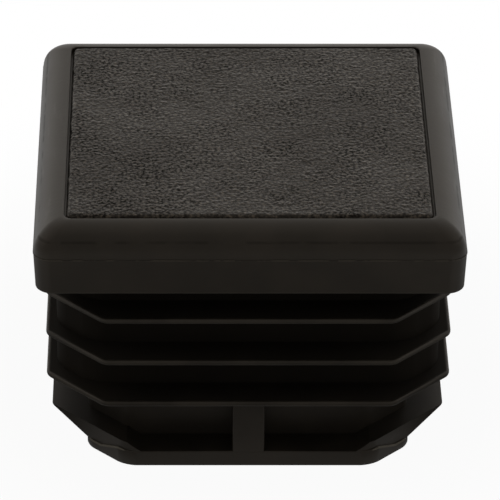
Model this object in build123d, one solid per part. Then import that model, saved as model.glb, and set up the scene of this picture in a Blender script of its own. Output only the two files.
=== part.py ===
"""Square tube end cap, moulded in one piece: a domed head on a hollow ribbed stem.

Millimetres, +Z up. The cap stands on the foot ring of its stem with the head on top.
The origin is the centre of the foot ring, on the surface that it stands on.
"""
from build123d import *
import os

os.makedirs("parts", exist_ok=True)

# Tube that the cap closes
tube_width = 30.0           # square, outside
tube_wall = 1.0
fin_squeeze = 0.32          # how far the fins stand out past the tube's inside, on each side

# Head
head_height = 4.9           # underside to the top of the rounded edge
head_edge_radius = 2.15     # quarter round from the parting line up to the panel
head_edge_land = 0.01       # straight strip left under the quarter round
head_corner_radius = 1.25   # in plan
head_side_draft = 2.5       # degrees, inwards below the parting line
head_lower_edge = 0.12      # small radius round the underside
head_plate = 2.4            # left between the bore and the top of the head
flash_height = 0.06         # witness of the parting line
flash_reach = 0.025         # how far it stands out from the head

# Panel on top of the head, with a fine groove round it
panel_border = 2.35         # from the head's side to the panel
panel_corner_radius = 0.45
panel_rise = 0.1            # above the rounded edge
panel_edge_radius = 0.3
groove_width = 0.24
groove_depth = 0.25         # below the rounded edge

# Fins
stem_length = 14.6
fin_corner_cut = 4.14       # along each side, to where its corner would be
fin_corner_radius = 1.0     # where a cut corner meets the sides
fin_thickness = 0.4
fin_edge_chamfer = 0.1
fin_pitch = 3.38
fin_count = 3
fin_drop = 2.58             # from the head's underside to the middle of the first fin

# Core between the fins
side_groove_depth = 0.72    # behind the fins' edges, at the sides
front_groove_depth = 2.62   # and at the front and the back
core_corner_cut = 2.52
core_corner_radius = 2.5

# Waist: the deeper groove between the last fin and the lead-in fin
waist_side_depth = 2.87     # behind the fins' edges, at the sides
waist_corner_cut = 2.85
waist_corner_radius = 1.2
web_width = 2.28            # rib in the middle of the front and of the back

# Hollow of the stem, open at the foot
bore_side_wall = 1.75       # left between the bore and the waist, at the sides
bore_front_wall = 1.6       # and at the front and the back
bore_corner_radius = 2.0
bore_draft = 0.5            # degrees, narrower towards the head

# Lead-in fin: slopes down from its two side edges to the foot
lead_side_setback = 0.32    # behind the fins' edges
lead_corner_cut = 5.48
lead_corner_radius = 0.5    # at its sides
lead_top = 1.82             # height of its upper face
lead_edge = 0.06            # thickness left at its side edges

# Foot ring, as wide as the waist at its sides
foot_front_setback = 0.24   # behind the fins' edges, at the front and the back
foot_corner_cut = 2.72
foot_front_radius = 2.0     # where the front and back meet the cut corners
foot_side_radius = 1.5      # where the sides meet them
foot_height = 1.2           # at the front and the back, below the windows
foot_corner_height = 0.62   # at the cut corners
foot_low_width = 0.95       # from each side, as far as it keeps its corner height
foot_slope_width = 1.25     # over which it climbs to its full height
window_inset = 3.85         # from the foot's side to the window's corner on the foot
window_flare = 1.0          # how much further out the window reaches at its top

head_width = tube_width
panel_width = head_width - 2 * panel_border
fin_width = tube_width - 2 * tube_wall + 2 * fin_squeeze
core_width_x = fin_width - 2 * side_groove_depth
core_width_y = fin_width - 2 * front_groove_depth
waist_width_x = fin_width - 2 * waist_side_depth
bore_width_x = waist_width_x - 2 * bore_side_wall
bore_width_y = core_width_y - 2 * bore_front_wall
lead_width_x = fin_width - 2 * lead_side_setback
foot_width_y = fin_width - 2 * foot_front_setback

top_z = stem_length + head_height
parting_z = top_z - head_edge_radius
last_fin_z = stem_length - fin_drop - (fin_count - 1) * fin_pitch


def octagon(width_x, width_y, corner_cut, side_radius, front_radius=None):
    """Rectangle with its corners cut off and rounded where the cuts meet the sides."""
    half_x = width_x / 2
    half_y = width_y / 2
    corner_x = half_x - corner_cut
    corner_y = half_y - corner_cut
    points = [(half_x, corner_y), (corner_x, half_y), (-corner_x, half_y), (-half_x, corner_y)]
    points += [(-x, -y) for x, y in points]
    outline = make_face(Polyline(*points, close=True))
    by_side = outline.vertices().group_by(lambda corner: abs(corner.Y))
    outline = fillet(by_side[-1], front_radius or side_radius)
    side_corners = outline.vertices().filter_by(lambda corner: abs(abs(corner.X) - half_x) < 1e-6)
    side_corners = side_corners.filter_by(lambda corner: abs(abs(corner.Y) - corner_y) < 1e-6)
    return fillet(side_corners, side_radius)


def prism(outline, bottom, height):
    """Straight prism on a horizontal outline."""
    return extrude(Pos(0, 0, bottom) * outline, height)


def side_profile(right_half, width_y):
    """Prism along Y on a profile in XZ, given by its right half from the bottom up."""
    mirrored = [(-x, z) for x, z in reversed(right_half)]
    outline = make_face(Polyline(*right_half, *mirrored, close=True))
    return extrude(Plane.XZ * outline, width_y / 2, both=True)


def head():
    """Rounded square with a quarter-round top edge and a drafted skirt."""
    plan = RectangleRounded(head_width, head_width, head_corner_radius)
    skirt = extrude(Pos(0, 0, parting_z) * plan, stem_length - parting_z, taper=head_side_draft)
    skirt = fillet(skirt.faces().sort_by(Axis.Z)[0].edges(), head_lower_edge)
    dome = prism(plan, parting_z, head_edge_radius)
    dome = fillet(dome.faces().sort_by(Axis.Z)[-1].edges(), head_edge_radius - head_edge_land)
    flash_width = head_width + 2 * flash_reach
    flash_plan = RectangleRounded(flash_width, flash_width, head_corner_radius + flash_reach)
    flash = prism(flash_plan, parting_z - flash_height / 2, flash_height)
    return skirt + dome + flash


def panel():
    """The raised panel and the groove cut round it."""
    outer_width = panel_width + 2 * groove_width
    outer = RectangleRounded(outer_width, outer_width, panel_corner_radius + groove_width)
    inner = RectangleRounded(panel_width, panel_width, panel_corner_radius)
    floor_z = top_z - groove_depth
    recess = prism(outer, floor_z, groove_depth + panel_rise)
    pad = prism(inner, floor_z, groove_depth + panel_rise)
    pad = fillet(pad.faces().sort_by(Axis.Z)[-1].edges(), panel_edge_radius)
    return recess, pad


def fins():
    """Thin octagonal plates at an even pitch down the stem."""
    outline = octagon(fin_width, fin_width, fin_corner_cut, fin_corner_radius)
    plate = prism(outline, last_fin_z - fin_thickness / 2, fin_thickness)
    rims = plate.faces().filter_by(Axis.Z).edges()
    plate = chamfer(rims, fin_edge_chamfer)
    return [Pos(0, 0, row * fin_pitch) * plate for row in range(fin_count)]


def lead_fin():
    """Lowest fin: flat on top, sloping down to the foot on both sides."""
    plan = octagon(lead_width_x, foot_width_y, lead_corner_cut, lead_corner_radius, foot_front_radius)
    half_profile = [
        (waist_width_x / 2, 0),
        (waist_width_x / 2, foot_corner_height),
        (lead_width_x / 2, lead_top - lead_edge),
        (lead_width_x / 2, lead_top),
    ]
    return prism(plan, 0, lead_top) & side_profile(half_profile, foot_width_y)


def windows():
    """Pockets in the front and the back, down to the foot ring."""
    floor_corner = waist_width_x / 2 - window_inset
    half_profile = [
        (floor_corner, foot_height),
        (floor_corner + window_flare, lead_top),
    ]
    through = side_profile(half_profile, foot_width_y)
    between = prism(Rectangle(waist_width_x, core_width_y), 0, lead_top)
    return through - between


def foot():
    """Foot ring, lower at its cut corners than at the front and the back."""
    half_x = waist_width_x / 2
    plan = octagon(waist_width_x, foot_width_y, foot_corner_cut, foot_side_radius, foot_front_radius)
    half_profile = [
        (half_x, 0),
        (half_x, foot_corner_height),
        (half_x - foot_low_width, foot_corner_height),
        (half_x - foot_low_width - foot_slope_width, foot_height),
    ]
    return prism(plan, 0, foot_height) & side_profile(half_profile, foot_width_y)


def stem():
    """Solid stem: core, waist, webs, fins and foot ring."""
    core_plan = octagon(core_width_x, core_width_y, core_corner_cut, core_corner_radius)
    core = prism(core_plan, last_fin_z, stem_length - last_fin_z)
    waist_plan = octagon(waist_width_x, core_width_y, waist_corner_cut, waist_corner_radius)
    waist = prism(waist_plan, 0, last_fin_z)
    web = prism(Rectangle(web_width, foot_width_y), 0, last_fin_z)
    body = core + (lead_fin() - windows()) + waist + web + foot()
    for plate in fins():
        body += plate
    return body


def bore():
    """Hollow of the stem, open at the foot."""
    mouth = RectangleRounded(bore_width_x, bore_width_y, bore_corner_radius)
    return extrude(mouth, top_z - head_plate, taper=bore_draft)


recess, pad = panel()
end_cap = head() - recess + pad + stem() - bore()
end_cap.label = "ribbed_end_cap"
export_step(end_cap, "parts/ribbed_end_cap.step")
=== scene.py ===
# %% [markdown]
# # A ribbed end cap for a square tube
#
# The cap closes the open end of a 30 mm square tube. It is one moulding of black polyethylene: a domed
# head with a grained panel, on a hollow stem with thin fins that bend as the stem is pressed into the tube.
#
# The CAD model holds the sizes. This script models the same moulding again with the fine shape that
# shows up close, such as rounded rims, a real grain and the witness of the mould's parting line, and
# then gives it its finish, its light and its camera.

# %% Load the CAD frame
import math

import bmesh
import bpy
import numpy as np
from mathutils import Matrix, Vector, noise


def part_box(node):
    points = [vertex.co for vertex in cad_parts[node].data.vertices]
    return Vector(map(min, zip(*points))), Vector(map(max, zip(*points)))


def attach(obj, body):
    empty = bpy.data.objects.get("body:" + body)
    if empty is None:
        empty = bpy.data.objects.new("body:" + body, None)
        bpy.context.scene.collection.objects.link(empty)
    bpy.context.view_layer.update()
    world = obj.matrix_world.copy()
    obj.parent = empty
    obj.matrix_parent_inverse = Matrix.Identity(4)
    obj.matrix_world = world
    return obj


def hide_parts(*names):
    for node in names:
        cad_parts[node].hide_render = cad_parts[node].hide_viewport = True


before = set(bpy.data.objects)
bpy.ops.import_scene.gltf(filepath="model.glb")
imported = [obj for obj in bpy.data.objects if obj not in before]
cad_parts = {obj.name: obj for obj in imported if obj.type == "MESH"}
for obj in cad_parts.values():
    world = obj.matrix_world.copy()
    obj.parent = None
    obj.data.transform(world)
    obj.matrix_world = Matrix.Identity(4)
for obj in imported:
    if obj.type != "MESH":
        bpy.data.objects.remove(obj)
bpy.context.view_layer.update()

# %% [markdown]
# ## Working in millimetres
#
# The finished piece has to be in metres. Its details are a tenth of a millimetre, and several of
# Blender's tools treat anything nearer than that as the same point. So the solids are modelled
# with one Blender unit for a millimetre, and the finished piece is made a thousand times smaller at the end.

# %% The head's sizes, in millimetres
METRES = 0.001                # one working unit

cap_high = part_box("ribbed_end_cap")[1] / METRES
stem_length = 14.6            # from the foot up to the head's underside

head_width = 30.0
head_edge_radius = 2.15       # quarter round from the parting line up to the panel
head_corner_radius = 1.25     # in plan
head_draft = 0.12             # how far the skirt leans in on each side
head_lower_edge = 0.12        # rounding of the skirt's lower rim

panel_width = 25.5
panel_corner_radius = 0.45    # in plan
panel_edge_radius = 0.4       # rounding of the panel's upper rim
panel_rise = 0.1              # above the top of the dome
groove_width = 0.11
groove_depth = 0.35           # below the top of the dome
seat_rim_radius = 0.06        # rounding where the groove's outer wall meets the dome

head_top = cap_high.z - panel_rise
parting_height = head_top - head_edge_radius
print("head from", stem_length, "to", round(head_top, 3), "parting line at", round(parting_height, 3))

# %% [markdown]
# ## Choosing by place
#
# By hand, edges are picked with the mouse. In a script they are picked by where they are: an edge is
# upright if one end is more or less above the other, and level if both are at the same height. When
# points are picked, the flush call also picks the edges and faces that lie between them.

# %% Start and end editing
def start_edit(piece):
    """Go into edit mode on one piece alone."""
    bpy.ops.object.select_all(action="DESELECT")
    piece.select_set(True)
    bpy.context.view_layer.objects.active = piece
    bpy.ops.object.mode_set(mode="EDIT")


def end_edit():
    """Go back to object mode."""
    bpy.ops.object.mode_set(mode="OBJECT")


# %% Choose edges and points by their place
SAME = 1e-4                   # places nearer than this count as one place
LEAN = 0.3                    # an upright edge climbs by more than this and leans by less


def choose_edges(piece, wanted):
    """Select the edges for which wanted(end, other_end) is true, and no others."""
    bpy.ops.mesh.select_mode(type="EDGE")
    bpy.ops.mesh.select_all(action="DESELECT")
    shape = bmesh.from_edit_mesh(piece.data)
    for edge in shape.edges:
        if wanted(edge.verts[0].co, edge.verts[1].co):
            edge.select_set(True)
    bmesh.update_edit_mesh(piece.data)


def choose_points(piece, wanted):
    """Select the vertices for which wanted(place) is true, and no others."""
    bpy.ops.mesh.select_mode(type="VERT")
    bpy.ops.mesh.select_all(action="DESELECT")
    shape = bmesh.from_edit_mesh(piece.data)
    for vertex in shape.verts:
        vertex.select_set(wanted(vertex.co))
    shape.select_flush_mode()
    bmesh.update_edit_mesh(piece.data)


def upright(a, b):
    """Whether the edge between two points is upright."""
    return abs(a.x - b.x) < LEAN and abs(a.y - b.y) < LEAN and abs(a.z - b.z) > LEAN


def level_at(height):
    """Make a test for level edges at that height."""
    return lambda a, b: abs(a.z - height) < SAME and abs(b.z - height) < SAME


# %% Start a block
def start_block(name, width_x, width_y, bottom, top):
    """A block at its size and place, left in edit mode."""
    bpy.ops.object.select_all(action="DESELECT")
    bpy.ops.mesh.primitive_cube_add(size=1, location=(0, 0, (bottom + top) / 2))
    block = bpy.context.object
    block.name = name
    block.scale = (width_x, width_y, top - bottom)
    bpy.ops.object.transform_apply(location=True, rotation=False, scale=True)
    start_edit(block)
    return block


# %% [markdown]
# ## The head
#
# The head is a rounded square with a quarter-round top edge and a skirt that leans in slightly, so that
# it comes out of its mould. A bevel can't make the top edge: it is rounder than the corners, and its
# inner side would turn inside out there. So the wall is cut into level rings with bisect, and each ring is
# drawn in to its place on the quarter round. At a corner, a ring is a small arc. Scaling the arc about
# the one point that both arcs share gives it its new radius and its new centre in one move.

# %% Work out the rings of the dome
ring_count = 14
corner_steps = 10             # edges in the arc of a corner
corner_centre = head_width / 2 - head_corner_radius
seat_half = panel_width / 2 + groove_width
seat_corner_radius = panel_corner_radius + groove_width
ring_heights = [head_edge_radius * math.sin(math.pi / 2 * k / ring_count) for k in range(ring_count + 1)]


def ring_size(rise):
    """Half width and corner radius of the dome's outline at a height above the parting line."""
    drawn_in = 1 - math.sqrt(max(0.0, 1 - (rise / head_edge_radius) ** 2))
    half = head_width / 2 - (head_width / 2 - seat_half) * drawn_in
    radius = head_corner_radius + (seat_corner_radius - head_corner_radius) * drawn_in
    return half, radius


print("the dome's outline shrinks from", ring_size(0)[0], "to", round(ring_size(head_edge_radius)[0], 3))

# %% Model the head's block and draw in its rings
MERGE = 1e-5                  # bisect uses the points that are this near its plane

head = start_block("head", head_width, head_width, stem_length, head_top)
choose_edges(head, upright)
bpy.ops.mesh.bevel(offset=head_corner_radius, segments=corner_steps, affect="EDGES")
for rise in ring_heights[:-1]:
    bpy.ops.mesh.select_all(action="SELECT")
    bpy.ops.mesh.bisect(plane_co=(0, 0, parting_height + rise), plane_no=(0, 0, 1), threshold=MERGE)

for rise in ring_heights[1:]:
    half, radius = ring_size(rise)
    height = parting_height + rise
    shrink = radius / head_corner_radius
    fixed = (half - radius - shrink * corner_centre) / (1 - shrink)
    for side_x in (-1, 1):
        for side_y in (-1, 1):
            choose_points(head, lambda at: abs(at.z - height) < SAME
                          and at.x * side_x > 0 and at.y * side_y > 0)
            bpy.ops.transform.resize(value=(shrink, shrink, 1), orient_type="GLOBAL",
                                     center_override=(fixed * side_x, fixed * side_y, height))
print("head:", ring_count, "rings drawn in, the last of them", round(2 * half, 3), "mm across")

# %% [markdown]
# The skirt's draft is one more resize, of the lowest ring. Then the whole top face is pushed down by the
# depth of the groove. It becomes the seat that the grained panel stands on, and the gap that is left
# between the panel and the seat's wall is the groove. A small bevel blunts the wall's upper edge.

# %% Lean the skirt in, round its lower rim and sink the seat
choose_points(head, lambda at: at.z < stem_length + SAME)
skirt_scale = 1 - head_draft / (head_width / 2)
bpy.ops.transform.resize(value=(skirt_scale, skirt_scale, 1), orient_type="GLOBAL",
                         center_override=(0, 0, stem_length))
choose_edges(head, level_at(stem_length))
bpy.ops.mesh.bevel(offset=head_lower_edge, segments=3, affect="EDGES")

choose_points(head, lambda at: at.z > head_top - SAME)
bpy.ops.mesh.extrude_region_move(TRANSFORM_OT_translate={"value": (0, 0, -groove_depth)})
choose_edges(head, level_at(head_top))
bpy.ops.mesh.bevel(offset=seat_rim_radius, segments=3, affect="EDGES")
end_edit()
print("head:", len(head.data.polygons), "faces with its seat sunk by", groove_depth, "mm")

# %% [markdown]
# ## Levels of the stem
#
# Every level of the stem, from the fins to the foot, is a rectangle with its corners cut off. On a block,
# one bevel with a single segment makes the cuts. A second bevel rounds the eight upright edges that the
# cuts leave, where the wall turns by 45 degrees: a bevel reaches back by its radius times the tangent of
# half that turn.

# %% A block with cut corners
HALF_TURN = math.tan(math.radians(45 / 2))


def cut_block(name, width_x, width_y, corner_cut, bottom, top, side_radius, front_radius=None, steps=6):
    """A block with cut and rounded corners at its size and place, left in edit mode."""
    block = start_block(name, width_x, width_y, bottom, top)
    choose_edges(block, upright)
    bpy.ops.mesh.bevel(offset=corner_cut, segments=1, affect="EDGES")
    front = width_y / 2
    choose_edges(block, lambda a, b: upright(a, b) and abs(abs(a.y) - front) < SAME)
    bpy.ops.mesh.bevel(offset=(front_radius or side_radius) * HALF_TURN, segments=steps, affect="EDGES")
    side = width_x / 2
    choose_edges(block, lambda a, b: upright(a, b) and abs(abs(a.x) - side) < SAME)
    bpy.ops.mesh.bevel(offset=side_radius * HALF_TURN, segments=steps, affect="EDGES")
    return block


# %% Round the sharp edges of a piece
def round_edges(piece, radius, steps=3, where=lambda a, b: True):
    """Round the sharp edges of a piece in edit mode, or those of them that where(a, b) accepts."""
    sharp = math.radians(50)
    bpy.ops.mesh.select_mode(type="EDGE")
    bpy.ops.mesh.select_all(action="DESELECT")
    shape = bmesh.from_edit_mesh(piece.data)
    for edge in shape.edges:
        if edge.calc_face_angle(0) > sharp and where(edge.verts[0].co, edge.verts[1].co):
            edge.select_set(True)
    bmesh.update_edit_mesh(piece.data)
    bpy.ops.mesh.bevel(offset=radius, segments=steps, affect="EDGES")


# %% The stem's sizes
tube_inside = 28.0            # across the tube that the fins press into
fin_squeeze = 0.32            # how far they stand out past it on each side
fin_width = tube_inside + 2 * fin_squeeze
fin_corner_cut = 4.14
fin_corner_radius = 1.0
fin_thickness = 0.4
fin_rim_radius = 0.13
fin_pitch = 3.38
fin_count = 3
last_fin_height = 5.26

core_width_x = 27.2
core_width_y = 23.4
core_corner_cut = 2.52
core_corner_radius = 2.5
core_sink = 1.0               # how far the core reaches up into the head

waist_width_x = 22.9
waist_corner_cut = 2.85
waist_corner_radius = 1.2
waist_bottom = 0.3            # inside the foot
web_width = 2.28
web_corner_radius = 0.14
web_setback = 0.015           # behind the foot's front, so that no two faces lie in one plane

foot_width_y = 28.16
print("fins", fin_width, "mm across, in a tube", tube_inside, "mm across inside")

# %% [markdown]
# The fins are alike, so one is modelled and the others are copies of it, each with its own mesh. Their
# rims are rounded: a fin comes out of its mould with thin, slightly blunt edges, and those blunt edges
# are what catches the light all round the stem. The solids reach into each other a little, which gives
# the union at the end clean places to weld them.

# %% Model the core, the waist and the webs
core = cut_block("core", core_width_x, core_width_y, core_corner_cut,
                 last_fin_height, stem_length + core_sink, core_corner_radius)
end_edit()

waist = cut_block("waist", waist_width_x, core_width_y, waist_corner_cut,
                  waist_bottom, last_fin_height, waist_corner_radius)
end_edit()

web = start_block("web", web_width, foot_width_y - 2 * web_setback, waist_bottom, last_fin_height)
choose_edges(web, upright)
bpy.ops.mesh.bevel(offset=web_corner_radius, segments=3, affect="EDGES")
end_edit()
print("core, waist and web:", [len(piece.data.polygons) for piece in (core, waist, web)], "faces")

# %% Model one fin and copy it up the stem
fin = cut_block("fin", fin_width, fin_width, fin_corner_cut, last_fin_height - fin_thickness / 2,
                last_fin_height + fin_thickness / 2, fin_corner_radius)
round_edges(fin, fin_rim_radius)
end_edit()
fins = [fin]
for row in range(1, fin_count):
    bpy.ops.object.select_all(action="DESELECT")
    fin.select_set(True)
    bpy.context.view_layer.objects.active = fin
    bpy.ops.object.duplicate()
    copy = bpy.context.object
    copy.location.z = row * fin_pitch
    bpy.ops.object.transform_apply(location=True, rotation=False, scale=False)
    fins.append(copy)
print("fins:", len(fins), "of", len(fin.data.polygons), "faces")

# %% [markdown]
# ## The foot
#
# The foot leads the cap into its tube. Its ring keeps its full height at the front and the back, slopes
# down towards its sides and ends low at its corners. Bisect cuts the block across where the slopes start
# and end. Then the points of its top are lowered, each by its share of the slope.

# %% Model the foot ring
foot_corner_cut = 2.72
foot_front_radius = 2.0
foot_side_radius = 1.5
foot_height = 1.2             # at the front and the back
foot_corner_height = 0.62
foot_low_width = 0.95         # from each side to the slope
foot_slope_width = 1.25
foot_upper_radius = 0.09
foot_lower_radius = 0.08
foot_low_from = waist_width_x / 2 - foot_low_width
foot_full_to = foot_low_from - foot_slope_width
foot_drop = foot_height - foot_corner_height
foot_middle = foot_corner_height / 2

foot = cut_block("foot", waist_width_x, foot_width_y, foot_corner_cut, 0, foot_height,
                 foot_side_radius, foot_front_radius, steps=10)
for place in (-foot_low_from, -foot_full_to, foot_full_to, foot_low_from):
    bpy.ops.mesh.select_all(action="SELECT")
    bpy.ops.mesh.bisect(plane_co=(place, 0, 0), plane_no=(1, 0, 0), threshold=MERGE)
places = {round(abs(vertex.co.x), 3) for vertex in bmesh.from_edit_mesh(foot.data).verts}
for place in sorted(place for place in places if place > foot_full_to):
    down_slope = min(1, (place - foot_full_to) / (foot_low_from - foot_full_to))
    choose_points(foot, lambda at: at.z > foot_height - SAME and abs(abs(at.x) - place) < 10 * SAME)
    bpy.ops.transform.translate(value=(0, 0, -foot_drop * down_slope))
round_edges(foot, foot_upper_radius, where=lambda a, b: min(a.z, b.z) > foot_middle)
round_edges(foot, foot_lower_radius, steps=2, where=lambda a, b: max(a.z, b.z) < foot_middle)
end_edit()
print("foot:", len(foot.data.polygons), "faces")

# %% [markdown]
# The lead-in fin is flat on top and slopes down to the foot on both sides, so that it finds its way into
# the tube. Between its two halves are the windows, where the stem's wall shows down to the foot. Each half
# is a block with cut corners that two slanted bisects trim: one makes the slope, the other the window's edge.

# %% Model both halves of the lead-in fin
lead_width_x = 28.0
lead_corner_cut = 5.48
lead_corner_radius = 0.5
lead_diagonal = (lead_width_x + foot_width_y) / 2 - lead_corner_cut
lead_bottom = 0.2             # inside the foot
lead_top = 1.82
lead_edge = 0.06              # thickness left at its side edges
lead_setback = 0.005          # behind the foot's front
window_inset = 3.85           # from the foot's side to the window's corner on the foot
window_flare = 1.0            # how much further out the window reaches at its top
window_floor = waist_width_x / 2 - window_inset
slope_run = (lead_width_x - waist_width_x) / 2
slope_rise = lead_top - lead_edge - foot_corner_height


def trim(place, facing):
    """Cut the piece in edit mode along a plane, and remove and close the side that the plane faces."""
    bpy.ops.mesh.select_all(action="SELECT")
    bpy.ops.mesh.bisect(plane_co=place, plane_no=Vector(facing).normalized(),
                        use_fill=True, clear_outer=True, threshold=MERGE)


lead_halves = []
for side in (-1, 1):
    half = cut_block("lead_half", lead_width_x, foot_width_y - 2 * lead_setback, lead_corner_cut,
                     lead_bottom, lead_top, lead_corner_radius, foot_front_radius)
    trim((side * waist_width_x / 2, 0, foot_corner_height), (side * slope_rise, 0, -slope_run))
    trim((side * window_floor, 0, foot_height), (-side * (lead_top - foot_height), 0, window_flare))
    end_edit()
    lead_halves.append(half)
print("lead-in fin:", [len(half.data.polygons) for half in lead_halves], "faces")

# %% [markdown]
# ## The hollow and the parting line
#
# The stem is hollow, with slightly leaning walls, a rounded end and a small flare at its mouth. The tool
# that cuts it is a block too. It starts below the foot, so that it cuts right through. Where the two
# halves of the mould met round the head, a thin bead of plastic is left. It is a plate a little wider
# than the head, and only its rim shows.

# %% Model the hollow's tool
bore_side_wall = 1.75         # left between the hollow and the waist, at the sides
bore_front_wall = 1.6         # and at the front and the back
bore_width_x = waist_width_x - 2 * bore_side_wall
bore_width_y = core_width_y - 2 * bore_front_wall
bore_corner_radius = 2.0
bore_end_radius = 0.6
bore_top = 17.1
bore_below = 0.5              # how far the tool reaches below the foot
bore_draft = math.tan(math.radians(0.5)) * bore_top
mouth_flare = 0.12            # height and reach of the flare

bore = start_block("bore", bore_width_x, bore_width_y, -bore_below, bore_top)
choose_edges(bore, upright)
bpy.ops.mesh.bevel(offset=bore_corner_radius, segments=8, affect="EDGES")
choose_points(bore, lambda at: at.z > bore_top - SAME)
bpy.ops.transform.resize(value=(1 - 2 * bore_draft / bore_width_x, 1 - 2 * bore_draft / bore_width_y, 1),
                         center_override=(0, 0, bore_top))
choose_edges(bore, level_at(bore_top))
bpy.ops.mesh.bevel(offset=bore_end_radius, segments=4, affect="EDGES")
bpy.ops.mesh.select_all(action="SELECT")
bpy.ops.mesh.bisect(plane_co=(0, 0, mouth_flare), plane_no=(0, 0, 1), threshold=MERGE)
choose_points(bore, lambda at: at.z < 0)
mouth_scale = 1 + 2 * (bore_below + mouth_flare) / bore_width_x
bpy.ops.transform.resize(value=(mouth_scale, mouth_scale, 1), center_override=(0, 0, -bore_below))
end_edit()
print("hollow:", round(bore_width_x, 2), "by", round(bore_width_y, 2), "mm at its mouth")

# %% Model the parting line's bead
bead_reach = 0.025            # how far it stands out from the head
bead_height = 0.06
bead_width = head_width + 2 * bead_reach
bead = start_block("bead", bead_width, bead_width,
                   parting_height - bead_height / 2, parting_height + bead_height / 2)
choose_edges(bead, lambda a, b: abs(a.z - b.z) > bead_height / 2)
bpy.ops.mesh.bevel(offset=head_corner_radius + bead_reach, segments=corner_steps, affect="EDGES")
end_edit()
print("bead:", bead_width, "mm across,", len(bead.data.polygons), "faces")

# %% [markdown]
# ## The grained panel
#
# The panel's grain was etched into the mould as fine pebbles, about a third of a millimetre across. A
# grid fine enough to carry them is the start. Its points are moved in code, as a sculptor's brush would:
# the grid's outer lines are drawn together towards the rim, its corners are rounded, its rim is turned
# down, and then each point sinks by the depth of the grain at its place.

# %% Start the panel as a fine grid
grain_step = 0.1              # between the grid's lines
panel_half = panel_width / 2
cells = 2 * round(panel_half / grain_step)

bpy.ops.object.select_all(action="DESELECT")
bpy.ops.mesh.primitive_grid_add(x_subdivisions=cells, y_subdivisions=cells, size=panel_width,
                                location=(0, 0, cap_high.z))
panel = bpy.context.object
panel.name = "panel"
bpy.ops.object.transform_apply(location=True, rotation=False, scale=False)
at = np.empty(3 * len(panel.data.vertices))
panel.data.vertices.foreach_get("co", at)
at = at.reshape(-1, 3)
print("panel:", cells, "by", cells, "faces")

# %% Crowd the outer lines and round the corners
rim_band = 5 * grain_step     # the strip in which the lines are drawn together
rim_crowding = 1.7            # 1 would leave them evenly spaced

from_rim = panel_half - np.abs(at[:, :2])
drawn = rim_band * np.clip(from_rim / rim_band, 0, 1) ** rim_crowding
from_rim = np.where(from_rim < rim_band, drawn, from_rim)

# In each corner's square, a square ring of points is bent onto the quarter circle that it touches.
in_corner = np.clip(panel_corner_radius - from_rim, 0, None)
reach = np.hypot(in_corner[:, 0], in_corner[:, 1])
rounder = np.where(in_corner.min(axis=1) > 0, in_corner.max(axis=1) / np.maximum(reach, 1e-9), 1)
in_corner = in_corner * rounder[:, None]
from_rim = np.where(in_corner > 0, panel_corner_radius - in_corner, from_rim)
at[:, :2] = np.sign(at[:, :2]) * (panel_half - from_rim)

inside = np.where(in_corner.min(axis=1) > 0,
                  panel_corner_radius - np.hypot(in_corner[:, 0], in_corner[:, 1]),
                  from_rim.min(axis=1))
over_rim = np.clip(panel_edge_radius - inside, 0, panel_edge_radius)
at[:, 2] -= panel_edge_radius - np.sqrt(panel_edge_radius ** 2 - over_rim ** 2)
print("rim turned down by", round(cap_high.z - at[:, 2].min(), 3), "mm")

# %% [markdown]
# A pebble is a cell of Voronoi noise: where the nearest and the next nearest cell are equally far, there
# is a crease. The places that go into it are bent by a second noise, so that no crease is straight. A
# third noise, as fine as the pebbles, makes some of them stand lower, and a slow one leaves the grain
# fainter in some stretches. Noise at another height is another pattern, so each has its own height.

# %% The depth of the grain at a place
grain_size = 0.32             # one pebble
bend_size = 0.6
bend_reach = 0.15
swell_size = 0.26
strength_size = 2.2
noise.seed_set(5)             # without a seed, the noise that bends the creases differs from run to run


def grain_at(x, y):
    """Depth of the etched grain, from 0 on a pebble to 1 in a crease."""
    bend = noise.noise_vector(Vector((x, y, 3.0)) / bend_size) * bend_reach
    place = Vector((x + bend.x, y + bend.y, 0)) / grain_size
    near, next_near = noise.voronoi(place)[0][:2]
    crease = 1 - min(1, (next_near - near) * 1.8)
    swell = 0.5 + 0.5 * noise.noise(Vector((x, y, 9.0)) / swell_size)
    strength = 0.8 + 0.45 * noise.noise(Vector((x, y, 7.0)) / strength_size)
    return min(1, strength * (0.55 * crease ** 1.3 + 0.6 * swell))


grain = np.array([grain_at(x, y) for x, y in at[:, :2]])
print("grain from", round(grain.min(), 2), "to", round(grain.max(), 2), "mean", round(grain.mean(), 2))

# %% [markdown]
# At the rim the etching has eaten into the panel's outline here and there. The outer points are drawn in
# by an uneven amount, and the grain fades out on the turned-down rim, which would otherwise tear.

# %% Sink the grain and give the panel its wall
grain_depth = 0.07
rim_eaten = 0.06              # the outline is drawn in by half of this on average
bite_size = 0.7
panel_wall = 0.7              # reaches down into the seat

eaten = np.array([0.5 + noise.noise(Vector((x, y, 5.0)) / bite_size) for x, y in at[:, :2]])
at[:, :2] *= 1 - (rim_eaten / panel_half) * (eaten * np.clip(1 - inside / rim_band, 0, 1))[:, None]
flat_share = np.clip(inside / panel_edge_radius, 0, 1)
at[:, 2] -= grain_depth * grain * flat_share
panel.data.vertices.foreach_set("co", at.ravel())
panel.data.update()

start_edit(panel)
bpy.ops.mesh.select_mode(type="EDGE")
bpy.ops.mesh.select_all(action="DESELECT")
bpy.ops.mesh.select_non_manifold()
bpy.ops.mesh.extrude_region_move(TRANSFORM_OT_translate={"value": (0, 0, -panel_wall)})
bpy.ops.mesh.edge_face_add()
end_edit()
print("panel:", len(panel.data.polygons), "faces with its wall and its underside")

# %% [markdown]
# ## One skin
#
# The real cap is one moulding, so its model is one closed skin as well. Boolean unions weld the solids
# together and take away what lies inside. The hollow is cut once the stem is whole, and the panel comes
# last, because its fine grid would slow down every union after it. The exact solver copes with solids
# whose faces lie in the same plane.

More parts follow.
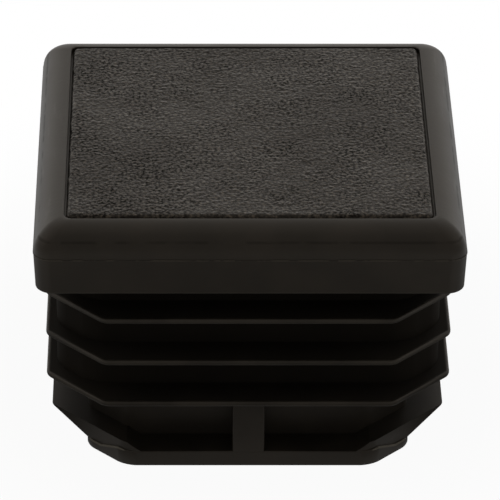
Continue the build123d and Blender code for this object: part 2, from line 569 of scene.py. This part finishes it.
# %% Weld the solids
def weld(whole, part, operation="UNION"):
    """Unite a part with the whole, or cut it out, and remove the part."""
    bpy.ops.object.select_all(action="DESELECT")
    whole.select_set(True)
    bpy.context.view_layer.objects.active = whole
    joint = whole.modifiers.new("weld", "BOOLEAN")
    joint.operation = operation
    joint.solver = "EXACT"
    joint.object = part
    bpy.ops.object.modifier_apply(modifier=joint.name)
    bpy.data.objects.remove(part)


for part in (core, *fins, waist, web, foot, *lead_halves, bead):
    weld(head, part)
weld(head, bore, "DIFFERENCE")
weld(head, panel)
cap = head
cap.name = "end_cap_moulding"
print("moulding:", len(cap.data.vertices), "points,", len(cap.data.polygons), "faces")

# %% [markdown]
# ## The finished piece
#
# Smoothing by angle rounds the shading of the bevels and leaves the creases sharp. Weighted normals then
# keep the wide faces flat, so that the light doesn't bend on them near a rounded rim. The piece is also
# brought from millimetres to metres, rides on the cap's only body and stands for its CAD node.

# %% Smooth the shading and hand the piece to the frame
start_edit(cap)
bpy.ops.mesh.select_all(action="SELECT")
bpy.ops.transform.resize(value=(METRES, METRES, METRES), center_override=(0, 0, 0))
end_edit()
bpy.ops.object.shade_smooth_by_angle(angle=math.radians(35))
weights = cap.modifiers.new("weighted normals", "WEIGHTED_NORMAL")
weights.keep_sharp = True
bpy.ops.object.modifier_apply(modifier=weights.name)

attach(cap, "root")
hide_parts("ribbed_end_cap")
print("size in mm:", [round(side / METRES, 3) for side in cap.dimensions])

# %% [markdown]
# ## Shader maths
#
# A procedural finish is a formula over the surface. Written as node links it is hard to read, so a
# small class wraps a node's output and lets Python's operators add the Math nodes. Every other node
# comes from one method that takes its type, its settings and what goes into its sockets.

# %% A wrapped socket
class Value:
    """The output of a shader node, for use in Python expressions."""

    def __init__(self, finish, socket):
        self.finish = finish
        self.socket = socket

    def _math(self, operation, *terms):
        return self.finish.node("ShaderNodeMath", {"operation": operation}, dict(enumerate(terms)))

    def __add__(self, other):
        return self._math("ADD", self, other)

    def __sub__(self, other):
        return self._math("SUBTRACT", self, other)

    def __rsub__(self, other):
        return self._math("SUBTRACT", other, self)

    def __mul__(self, other):
        return self._math("MULTIPLY", self, other)

    def __abs__(self):
        return self._math("ABSOLUTE", self)

    __radd__ = __add__
    __rmul__ = __mul__

    def larger(self, other):
        """The larger of two values at each place."""
        return self._math("MAXIMUM", self, other)

    def between(self, low, high, ramp="SMOOTHSTEP"):
        """0 below low, 1 above high and smooth in between."""
        sockets = {"Value": self, "From Min": low, "From Max": high}
        return self.finish.node("ShaderNodeMapRange", {"interpolation_type": ramp}, sockets)


# %% A set of nodes
class Finish:
    """The nodes of a material or of the world."""

    def __init__(self, owner):
        owner.use_nodes = True
        self.tree = owner.node_tree
        self.tree.nodes.clear()

    def node(self, kind, settings=None, sockets=None, output=0):
        """Add a node and return one of its outputs."""
        made = self.tree.nodes.new(kind)
        for name, value in (settings or {}).items():
            setattr(made, name, value)
        for name, value in (sockets or {}).items():
            if isinstance(value, Value):
                self.tree.links.new(value.socket, made.inputs[name])
            else:
                made.inputs[name].default_value = value
        return Value(self, made.outputs[output]) if made.outputs else None

    def point(self):
        """The place on the piece in millimetres."""
        place = self.node("ShaderNodeTexCoord", output=3)
        return self.node("ShaderNodeMapping", {}, {"Vector": place, "Scale": (1000, 1000, 1000)})

    def axes(self, point):
        """A point's three coordinates."""
        return [self.node("ShaderNodeSeparateXYZ", {}, {"Vector": point}, axis) for axis in range(3)]

    def noise(self, point, size, detail=2.0, roughness=0.5):
        """Smooth noise whose patches are about that many millimetres wide."""
        sockets = {"Vector": point, "Scale": 1 / size, "Detail": detail, "Roughness": roughness}
        return self.node("ShaderNodeTexNoise", {}, sockets)

    def mix(self, share, first, second):
        """A colour between two colours."""
        sockets = {"Factor": share, "A": first, "B": second}
        return self.node("ShaderNodeMix", {"data_type": "RGBA"}, sockets, output=2)


# %% [markdown]
# ## Black polyethylene
#
# Moulded polyethylene is a slightly warm black with a soft sheen. The mould's skin is never perfect: it
# carries a faint unevenness some millimetres wide, a fine tooth too small to see one by one, and
# hairline scuffs. The panel's pebbles are in the mesh already.
#
# First come masks, which are 1 on one part of the cap and 0 elsewhere. Each is made from the place
# alone: the panel and its groove from the distance to the middle, the fins from how far out a point
# lies, and the lines round the head from their height.

# %% Where the panel and its groove lie
black_polyethylene = bpy.data.materials.new("black_polyethylene")
plastic = Finish(black_polyethylene)
point = plastic.point()
x, y, z = plastic.axes(point)
aside = abs(x)
ahead = abs(y)

from_middle = aside.larger(ahead)
on_top = z.between(cap_high.z - 1.0, cap_high.z - 0.9)
on_panel = on_top * (1 - from_middle.between(panel_half - 0.04, panel_half - 0.01))
past_panel = from_middle.between(panel_half - 0.02, panel_half)
past_groove = from_middle.between(panel_half + groove_width, panel_half + groove_width + 0.02)
below_rim = 1 - z.between(head_top - 0.12, head_top - 0.06)
in_groove = on_top * past_panel * (1 - past_groove) * below_rim
at_front_or_back = (ahead - aside).between(-0.3, 0.3)
print("panel and groove:", len(plastic.tree.nodes), "nodes")

# %% Where the fins' rims, the recesses and the foot's lip lie
corner_reach = (aside + ahead - (fin_width - fin_corner_cut)) * math.sqrt(0.5) + fin_width / 2
fin_reach = from_middle.larger(corner_reach)
above_fins = z.between(stem_length - 0.02, stem_length + 0.02)
among_fins = z.between(last_fin_height - 0.3, last_fin_height - 0.2) * (1 - above_fins)
in_recess = among_fins * (1 - fin_reach.between(fin_width / 2 - 0.28, fin_width / 2 - 0.14))
on_rim = among_fins * fin_reach.between(fin_width / 2 - 0.14, fin_width / 2 - 0.06)

above_lip = z - foot_height + foot_drop * aside.between(foot_full_to, foot_low_from, "LINEAR")
past_lead_fin = (aside + ahead).between(lead_diagonal + 0.01, lead_diagonal + 0.04)
on_lip = above_lip.between(-0.12, -0.06) * (1 - above_lip.between(0.01, 0.03)) * past_lead_fin
print("with fins and foot:", len(plastic.tree.nodes), "nodes")

# %% Where the lines round the head lie
shade_line_height = 1.2           # of a faint broken line of painted shade on the dome, above the parting line
lower_edge_height = 0.08      # of the skirt's rounded rim, above its underside


def line_at(height, solid, fade):
    """A level line round the cap: 1 as far as solid from that height, and 0 from fade on."""
    return 1 - abs(z - height).between(solid, fade)


near_shade_line = line_at(parting_height + shade_line_height, 0.03, 0.12)
on_lower_edge = line_at(stem_length + lower_edge_height, 0.04, 0.12)
near_parting = line_at(parting_height, 0.03, 0.1)
print("with the head's lines:", len(plastic.tree.nodes), "nodes")

# %% [markdown]
# Next come the patterns that the whole skin or one part of it carries. Grit is finer than the panel's pebbles
# and lies on them, and its valleys are where painted shade makes dark specks between them. The streaks are
# one noise pulled out sideways, and the parting line is rubbed pale and painted brighter in short stretches.

# %% What the skin carries
grit = plastic.noise(point, 0.22, detail=2.0, roughness=0.6)
valley = 1 - grit.between(0.36, 0.54)
tooth = plastic.noise(point, 0.3, detail=3.0)
cloud = plastic.noise(point, 3.5, detail=3.0)
stretched = plastic.node("ShaderNodeMapping", {}, {"Vector": point, "Scale": (0.22, 0.22, 3.4)})
streak = plastic.noise(stretched, 1.0, detail=4.0).between(0.56, 0.74)
patch = plastic.noise(point, 7.0, detail=2.0).between(0.35, 0.65)
sharpness = 0.5 + 0.5 * plastic.noise(point, 2.6, detail=1.0).between(0.35, 0.65)
# Along the parting line: a rub and a painted highlight, in short stretches.
parting_rub_and_highlight = near_parting * plastic.noise(point, 0.7, detail=3.0).between(0.42, 0.56)
print("with the patterns:", len(plastic.tree.nodes), "nodes")

# %% [markdown]
# The colour is a black that turns slightly dusty in clouds, and paler on the tops of the panel's grit, partly
# from wear and partly as painted glints. It is rubbed pale along the parting line, partly as a painted
# highlight, paler on the fins' rims and on the skirt's lower rim, and carries a painted highlight on the
# foot's lip. The panel is a little more polished, the recesses are duller. Colours are linear.

# %% Mix the colour, the roughness and the relief
black = (0.0055, 0.0044, 0.0031, 1)
dusty = (0.0100, 0.0080, 0.0058, 1)
worn_and_glint = (0.056, 0.044, 0.032, 1)
pale_rub_and_highlight = (0.030, 0.026, 0.020, 1)
lip_highlight = (0.055, 0.050, 0.040, 1)
relief_height = 0.000012      # in metres, for a relief of 1

colour = plastic.mix(cloud.between(0.35, 0.7), black, dusty)
# Tops of the panel's grit: paler wear and painted glints.
colour = plastic.mix(on_panel * grit.between(0.5, 0.68), colour, worn_and_glint)
# Pale along the parting line as rub and painted highlight; paler on the fins' rims and the skirt's lower rim.
paler_edges = (on_rim * 0.35 * cloud.between(0.3, 0.6)).larger(on_lower_edge * 0.3)
colour = plastic.mix(parting_rub_and_highlight.larger(paler_edges), colour, pale_rub_and_highlight)
# A painted highlight along the foot's lip.
colour = plastic.mix(on_lip, colour, lip_highlight)
on_skin = 1 - on_panel
roughness = 0.42 + 0.1 * cloud - 0.07 * streak * on_skin - 0.16 * on_panel + 0.3 * in_recess
skin_relief = on_skin * (0.4 * tooth + 0.12 * streak)
panel_relief = on_panel * (3.0 * grit + 6.0 * tooth)
relief = skin_relief + panel_relief + 1.1 * cloud - 1.5 * parting_rub_and_highlight
bump = plastic.node("ShaderNodeBump", {}, {"Strength": 1.0, "Distance": relief_height, "Height": relief})
print("with colour and relief:", len(plastic.tree.nodes), "nodes")

# %% [markdown]
# Light hardly gets out of a narrow groove, from between the fins or from the fine valleys of the panel's
# grit, which the mesh is too coarse to hold. A second, dull and deeper black shader paints that shade in. The
# mask that mixes it in is weak all over the panel and strong in the valleys, and it takes in the groove at
# the front and the back, the recesses, and a faint broken line of painted shade on the dome.

# %% Mix the skin with the painted shade
painted_shade_black = (0.0036, 0.0027, 0.0018, 1)

skin = plastic.node("ShaderNodeBsdfPrincipled", {}, {
    "Base Color": colour, "Roughness": roughness, "Normal": bump,
    "IOR": 1.5, "Specular IOR Level": 0.28, "Specular Tint": (1.0, 0.9, 0.78, 1)})
painted_shade_bsdf = plastic.node("ShaderNodeBsdfPrincipled", {}, {
    "Base Color": painted_shade_black, "Roughness": 0.9, "IOR": 1.5, "Specular IOR Level": 0.05})
groove_shade = 0.6 * in_groove * at_front_or_back * plastic.noise(point, 0.9).between(0.35, 0.6)
# Painted shade along a broken line on the dome.
dome_line_shade = 0.3 * near_shade_line * plastic.noise(point, 1.6).between(0.38, 0.55)
panel_shade = on_panel * (0.24 + 0.62 * valley * sharpness + 0.14 * patch)
# Share of painted shade: all over the panel and in its valleys, in the groove, on the dome's line and in the
# recesses between the fins.
depth = panel_shade.larger(groove_shade).larger(dome_line_shade).larger(0.64 * in_recess)
surface = plastic.node("ShaderNodeMixShader", {}, {0: depth, 1: skin, 2: painted_shade_bsdf})
plastic.node("ShaderNodeOutputMaterial", {}, {"Surface": surface})
cap.data.materials.clear()
cap.data.materials.append(black_polyethylene)
print("finish:", len(plastic.tree.nodes), "nodes")

# %% [markdown]
# ## Floor, light and camera
#
# The cap stands on a plain pale floor. The camera sees floor and surroundings as white, but for a soft shadow
# close to the cap. A black satin piece shows mostly reflections, so what its faces mirror matters more than
# the light that falls on them. Mirrored in the cap, the floor is grey under the lights, and has a painted
# glow, white like a bright studio table, in some places: far away, behind the cap and beside it, and faintly
# in front of it, which keeps the stem's front dark but not empty.

# %% Lay the floor
floor_drop = 0.00002          # in metres, so that the floor and the foot aren't in one plane
bpy.ops.object.select_all(action="DESELECT")
bpy.ops.mesh.primitive_plane_add(size=6.0, location=(0, 0, -floor_drop))
floor = bpy.context.object
floor.name = "floor"
print("floor", floor_drop / METRES, "mm below the foot")

# %% Choose what the floor shows
pale_floor = bpy.data.materials.new("pale_floor")
ground = Finish(pale_floor)
spot = ground.point()
away = ground.node("ShaderNodeVectorMath", {"operation": "LENGTH"}, {0: spot}, output=1)
across, along = ground.axes(spot)[:2]
sideways = abs(across)
seen = ground.node("ShaderNodeLightPath", output=0)
mirrored = ground.node("ShaderNodeLightPath", output=3)

far = away.between(34, 48)
close = 1 - away.between(16, 21)
behind = along.between(5, 45)
beside = (sideways.between(8, 34) * (1 - along.between(-30, -20))).larger(sideways.between(33, 41))
in_front = (1 - along.between(-13, -9)) * (1 - sideways.between(15, 20))
painted_reflection_glow = 0.5 * far + 0.5 * behind + 0.8 * beside + (1 - far) * in_front * (0.12 + 0.43 * close)
share = seen * (0.95 + 0.05 * away.between(16, 45)) + mirrored * painted_reflection_glow
print("parts of the floor:", len(ground.tree.nodes), "nodes")

# %% Mix the floor's finish
pale = ground.node("ShaderNodeBsdfDiffuse", {}, {"Color": (0.3, 0.3, 0.3, 1)})
white = ground.node("ShaderNodeEmission", {}, {"Color": (1, 1, 1, 1), "Strength": 1.0})
blend = ground.node("ShaderNodeMixShader", {}, {0: share, 1: pale, 2: white})
ground.node("ShaderNodeOutputMaterial", {}, {"Surface": blend})
floor.data.materials.append(pale_floor)
print("floor finish:", len(ground.tree.nodes), "nodes")

# %% Set the surroundings
studio = bpy.data.worlds.new("studio")
bpy.context.scene.world = studio
air = Finish(studio)
seen = air.node("ShaderNodeLightPath", output=0)
soft = air.node("ShaderNodeBackground", {}, {"Color": (1, 0.98, 0.95, 1), "Strength": 0.5})
white = air.node("ShaderNodeBackground", {}, {"Color": (1, 1, 1, 1), "Strength": 1.0})
either = air.node("ShaderNodeMixShader", {}, {0: seen, 1: soft, 2: white})
air.node("ShaderNodeOutputWorld", {}, {"Surface": either})
print("surroundings:", len(air.tree.nodes), "nodes")

# %% [markdown]
# The light comes from broad, slightly warm panels, as in a studio. The largest hangs behind and above
# the cap and draws the sheen of its upper faces. A low strip behind it catches their far edges, one
# panel hangs above, and one on each side lights the flanks.

# %% Hang the light panels
warm_white = (1, 0.955, 0.90)
aim = Vector((0, 0, 0.01))


def light_panel(name, place, size, glow):
    """A soft panel that faces the cap. Its glow is the brightness of its own face."""
    light = bpy.data.lights.new(name, "AREA")
    light.shape = "RECTANGLE"
    light.size, light.size_y = size
    light.energy = glow * math.pi * size[0] * size[1]
    light.color = warm_white
    lamp = bpy.data.objects.new(name, light)
    bpy.context.scene.collection.objects.link(lamp)
    lamp.location = place
    lamp.rotation_euler = (aim - Vector(place)).to_track_quat("-Z", "Y").to_euler()
    print(name, "glows", glow, "from", place)


light_panel("back_panel", place=(0, 1.0, 0.6), size=(2.6, 1.3), glow=0.46)
light_panel("low_panel", place=(0, 1.2, 0.17), size=(3.2, 0.3), glow=0.8)
light_panel("top_panel", place=(0, 0.15, 1.1), size=(1.0, 0.8), glow=0.35)
light_panel("left_panel", place=(-0.9, 0.05, 0.7), size=(0.9, 0.7), glow=0.7)
light_panel("right_panel", place=(0.9, 0.05, 0.7), size=(0.9, 0.7), glow=0.6)

# %% [markdown]
# The camera looks at the cap's front from above, through a long lens. Its shift moves the view
# sideways without turning the camera, so that the cap's upright edges stay upright.

# %% Place the camera
camera_distance = 0.324357
camera_elevation = math.radians(29.945)
camera_target = Vector((-0.004941, 0, 0.009558))
lens = bpy.data.cameras.new("camera")
lens.sensor_width = 36.0
lens.lens = 321.53
lens.shift_x = 0.14277
camera = bpy.data.objects.new("camera", lens)
bpy.context.scene.collection.objects.link(camera)
back = Vector((0, -math.cos(camera_elevation), math.sin(camera_elevation)))
camera.location = camera_target + camera_distance * back
camera.rotation_euler = (math.pi / 2 - camera_elevation, 0, 0)
bpy.context.scene.camera = camera
bpy.context.scene.view_settings.view_transform = "Standard"
print("camera at", [round(value, 4) for value in camera.location])
